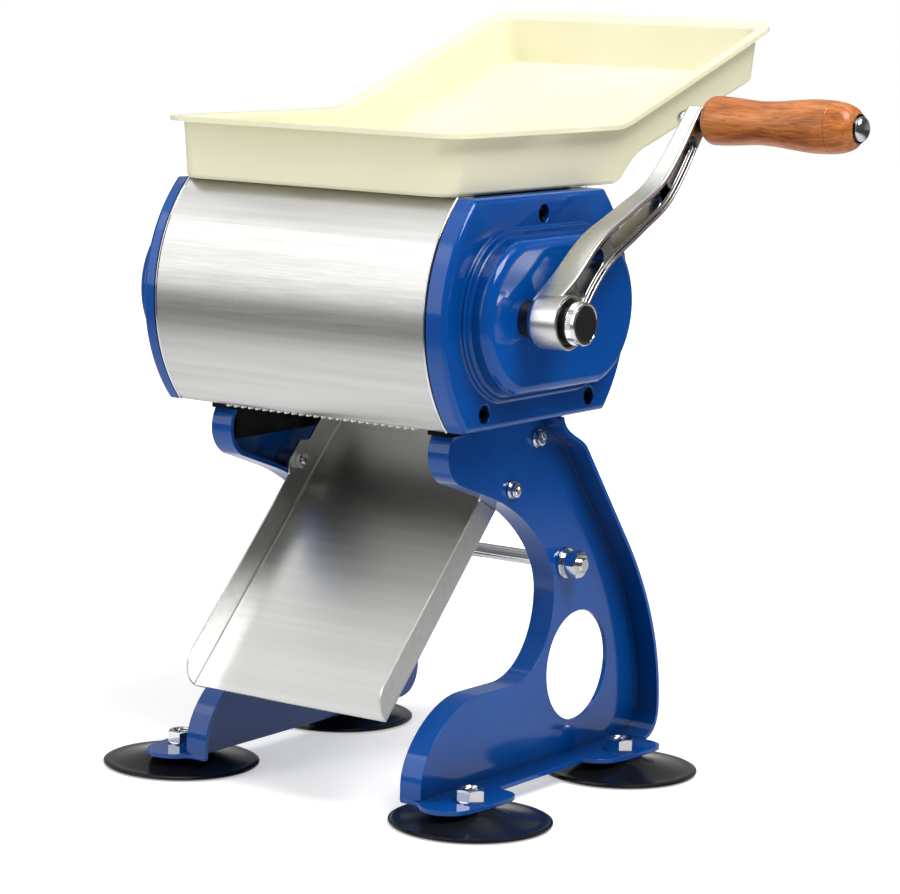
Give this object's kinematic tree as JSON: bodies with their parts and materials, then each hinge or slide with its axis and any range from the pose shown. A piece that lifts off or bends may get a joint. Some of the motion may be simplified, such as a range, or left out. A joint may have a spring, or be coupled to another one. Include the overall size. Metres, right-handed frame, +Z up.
{
  "type": "meat slicer",
  "caption": "Hand-cranked meat slicer: sloping feed tray, geared blade rollers in a barrel housing, outlet chute and blue side frames on suction feet.",
  "frame": {"origin": "middle of the footprint's bounding box at worktop level", "axes": "+Z up, +X along the rollers towards the crank, chute mouth towards -Y"},
  "size_m": [0.4568, 0.4116, 0.5056],
  "materials": {
    "blue_paint": "high gloss",
    "brushed_steel": "brushed along the barrel",
    "plate_alloy": "milled",
    "cast_alloy": "polished casting",
    "chrome": "plated",
    "black_steel": "black oxide",
    "hard_steel": "ground",
    "bronze": "turned",
    "comb_plastic": "semi gloss",
    "tray_plastic": "semi gloss",
    "black_rubber": "smooth moulded",
    "black_plastic": "satin",
    "wood": "varnished, straight grain"
  },
  "bodies": {
    "housing": {"frame_right": "blue_paint", "frame_left": "blue_paint", "end_cap_right": "blue_paint", "end_cap_left": "blue_paint", "foot_cup_front_right": "black_rubber", "foot_bolt_front_right": "chrome", "front_bush_right": "bronze", "foot_cup_front_left": "black_rubber", "foot_bolt_front_left": "chrome", "front_bush_left": "bronze", "foot_cup_rear_right": "black_rubber", "foot_bolt_rear_right": "chrome", "rear_bush_right": "bronze", "foot_cup_rear_left": "black_rubber", "foot_bolt_rear_left": "chrome", "rear_bush_left": "bronze", "tie_rod": "chrome", "tie_nut_right": "chrome", "tie_nut_left": "chrome", "chute": "brushed_steel", "front_shell": "brushed_steel", "rear_shell": "brushed_steel", "chute_screw_right": "chrome", "housing_screw_right": "chrome", "chute_spacer_right": "plate_alloy", "side_plate_right": "black_steel", "chute_screw_left": "chrome", "housing_screw_left": "chrome", "chute_spacer_left": "plate_alloy", "side_plate_left": "black_steel", "housing_bar_front": "plate_alloy", "housing_bar_rear": "plate_alloy", "front_comb": "comb_plastic", "rear_comb": "comb_plastic", "cap_screw_top_right": "black_steel", "cap_screw_top_left": "black_steel", "cap_screw_front_right": "black_steel", "cap_screw_front_left": "black_steel", "cap_screw_rear_right": "black_steel", "cap_screw_rear_left": "black_steel", "shaft_bush": "black_plastic"},
    "front_roller": {"drive_shaft": "hard_steel", "front_blades": "hard_steel", "drive_gear": "hard_steel", "crank_arm": "cast_alloy", "retaining_knob": "chrome", "knob_insert": "black_plastic", "handle_spindle": "chrome", "handle_washer": "black_steel", "handle_cap_nut": "chrome"},
    "rear_roller": {"driven_shaft": "hard_steel", "rear_blades": "hard_steel", "driven_gear": "hard_steel"},
    "grip": {"handle_grip": "wood"},
    "tray": {"feed_tray": "tray_plastic"}
  },
  "joints": [
    {"name": "crank_turn", "type": "hinge", "parent": "housing", "child": "front_roller", "pos_m": [-0.0559, -0.13575, 0.324], "axis": [1, 0, 0], "continuous": true},
    {"name": "rear_roller_turn", "type": "hinge", "parent": "housing", "child": "rear_roller", "pos_m": [-0.0559, -0.05175, 0.324], "axis": [1, 0, 0], "continuous": true},
    {"name": "grip_spin", "type": "hinge", "parent": "front_roller", "child": "grip", "pos_m": [0.1641, 0.03504, 0.44359], "axis": [1, 0, 0], "continuous": true},
    {"name": "tray_lift", "type": "slide", "parent": "housing", "child": "tray", "axis": [0, 0, 1], "range_m": [0, 0.03]}
  ],
  "couplings": [
    {"joint": "rear_roller_turn", "follows": "crank_turn", "ratio": -1}
  ]
}
